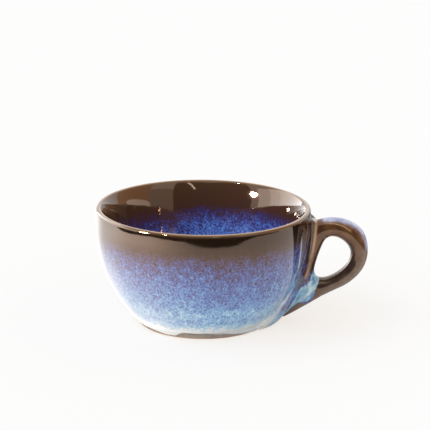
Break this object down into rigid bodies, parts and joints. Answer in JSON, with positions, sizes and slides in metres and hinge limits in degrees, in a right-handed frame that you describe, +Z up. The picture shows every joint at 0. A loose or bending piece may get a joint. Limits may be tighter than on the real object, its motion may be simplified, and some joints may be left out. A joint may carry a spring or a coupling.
{
  "type": "shaving mug",
  "caption": "Wide round-bodied glazed stoneware mug on a low foot ring, with a looped side handle: holds shaving soap and water while lather is worked up with a brush.",
  "frame": {"origin": "on the plane the foot ring stands on, under the middle of the whole mug's outline seen from above; the bowl's own axis is 15.8 mm towards -X from it", "axes": "+Z up out of the bowl's mouth; +X from the bowl towards the handle; the handle lies in the XZ plane"},
  "size_m": [0.1476, 0.116, 0.064],
  "materials": {
    "stoneware": "matte",
    "bare_stoneware": "matte",
    "slip": "matte",
    "outer_glaze": "gloss",
    "inner_glaze": "gloss"
  },
  "bodies": {
    "root": {"bowl": "stoneware", "foot_ring": "bare_stoneware", "foot_slip": "slip", "handle": "stoneware", "handle_slip": "slip", "root_fillet": "stoneware", "outer_glaze": "outer_glaze", "inner_glaze": "inner_glaze"}
  },
  "joints": []
}
